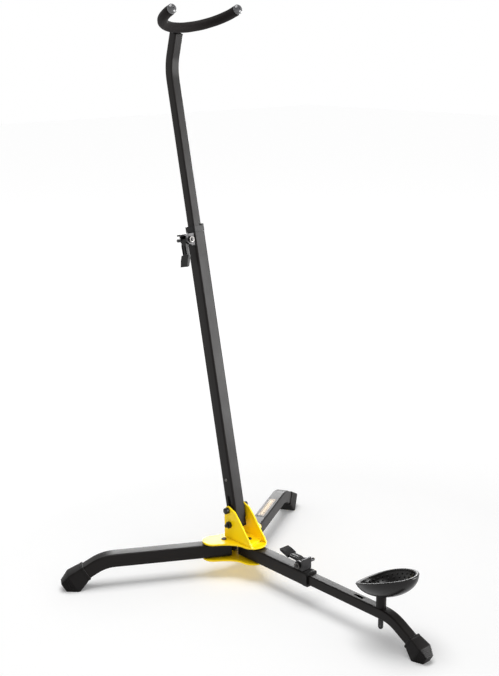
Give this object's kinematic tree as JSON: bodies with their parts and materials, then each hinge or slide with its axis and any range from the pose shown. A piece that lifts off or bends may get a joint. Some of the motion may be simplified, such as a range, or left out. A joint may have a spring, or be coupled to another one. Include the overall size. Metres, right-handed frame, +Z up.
{
  "type": "saxophone stand",
  "caption": "Folding tripod floor stand for a large woodwind: leaning telescopic mast with a padded U yoke on top and a tilted cup on the extending front leg.",
  "frame": {"origin": "on the floor, under the middle of the stand's bounding box", "axes": "+Z up, the front leg with the cup points along -Y, the mast leans back towards +Y, X across"},
  "size_m": [0.5164, 0.5558, 0.8964],
  "materials": {
    "yellow_paint": "gloss yellow paint on folded steel",
    "black_powder_coat": "satin black powder coat",
    "black_rubber": "matt moulded rubber",
    "black_plastic": "moulded nylon",
    "black_foam": "closed-cell foam rubber",
    "black_steel": "black-oxide steel",
    "bright_steel": "zinc-plated steel",
    "cup_rubber": "satin moulded rubber",
    "cap_plastic": "polished vinyl",
    "label_print": "printed film"
  },
  "bodies": {
    "base": {"top_plate": "yellow_paint", "bottom_plate": "yellow_paint", "mast_bracket": "yellow_paint", "front_hub_rivet": "bright_steel", "rear_hub_rivet": "bright_steel", "leg_stop_spacer": "black_steel", "left_leg_pivot_rivet": "black_steel", "right_leg_pivot_rivet": "black_steel", "front_outer_tube": "black_powder_coat", "front_end_sleeve": "black_plastic", "front_clamp_bracket": "black_steel", "front_clamp_bolt": "bright_steel", "front_clamp_nut": "bright_steel", "front_clamp_pad": "black_plastic", "pivot_bolt": "black_steel", "pivot_cap_nut": "black_steel", "left_pivot_washer": "black_plastic", "right_pivot_washer": "black_plastic", "left_stop_bolt": "black_steel", "right_stop_bolt": "black_steel", "left_stop_nut": "black_steel", "right_stop_nut": "black_steel"},
    "left_leg": {"left_leg_tube": "black_powder_coat", "left_leg_boot": "black_rubber", "left_leg_upper_washer": "black_plastic", "left_leg_lower_washer": "black_plastic"},
    "right_leg": {"right_leg_tube": "black_powder_coat", "right_leg_boot": "black_rubber", "right_leg_label": "label_print", "right_leg_upper_washer": "black_plastic", "right_leg_lower_washer": "black_plastic"},
    "front_extension": {"front_inner_tube": "black_powder_coat", "front_boot": "black_rubber", "cup_post": "black_powder_coat", "cup_stud": "black_steel"},
    "cup": {"instrument_cup": "cup_rubber"},
    "front_lever": {"front_clamp_lever": "black_plastic"},
    "pivot_sleeve": {"pivot_spacer": "black_steel"},
    "mast": {"mast_outer_tube": "black_powder_coat", "mast_end_sleeve": "black_plastic", "mast_clamp_bracket": "black_steel", "mast_clamp_bolt": "bright_steel", "mast_clamp_nut": "bright_steel", "mast_clamp_pad": "black_plastic", "mast_stop_rivet": "bright_steel"},
    "mast_lever": {"mast_clamp_lever": "black_plastic"},
    "mast_top": {"mast_inner_tube": "black_powder_coat", "yoke_bar": "black_steel", "yoke_sleeve": "black_foam", "yoke_cap_left": "cap_plastic", "yoke_cap_right": "cap_plastic"}
  },
  "joints": [
    {"name": "left_leg_fold", "type": "hinge", "parent": "base", "child": "left_leg", "pos_m": [-0.02555, 0.13072, 0.045], "axis": [0, 0, 1], "range_deg": [0, 120]},
    {"name": "right_leg_fold", "type": "hinge", "parent": "base", "child": "right_leg", "pos_m": [0.02555, 0.13072, 0.045], "axis": [0, 0, -1], "range_deg": [0, 120]},
    {"name": "front_leg_extend", "type": "slide", "parent": "base", "child": "front_extension", "axis": [0, -1, 0], "range_m": [-0.065, 0.025]},
    {"name": "cup_swivel", "type": "hinge", "parent": "front_extension", "child": "cup", "pos_m": [0, -0.18603, 0.07], "axis": [0, 0, 1], "continuous": true},
    {"name": "front_clamp_open", "type": "hinge", "parent": "base", "child": "front_lever", "pos_m": [0, -0.02483, 0.0635], "axis": [1, 0, 0], "range_deg": [0, 75]},
    {"name": "mast_fold", "type": "hinge", "parent": "base", "child": "pivot_sleeve", "pos_m": [0, 0.13007, 0.1078], "axis": [1, 0, 0], "range_deg": [0, 95]},
    {"name": "mast_lift", "type": "slide", "parent": "pivot_sleeve", "child": "mast", "axis": [0, 0.2004, 0.9797], "range_m": [0, 0.01]},
    {"name": "mast_extend", "type": "slide", "parent": "mast", "child": "mast_top", "axis": [0, 0.2004, 0.9797], "range_m": [-0.22, 0.08]},
    {"name": "mast_clamp_open", "type": "hinge", "parent": "mast", "child": "mast_lever", "pos_m": [-0.0185, 0.2184, 0.53966], "axis": [0, 0.9797, -0.2004], "range_deg": [0, 75]}
  ]
}
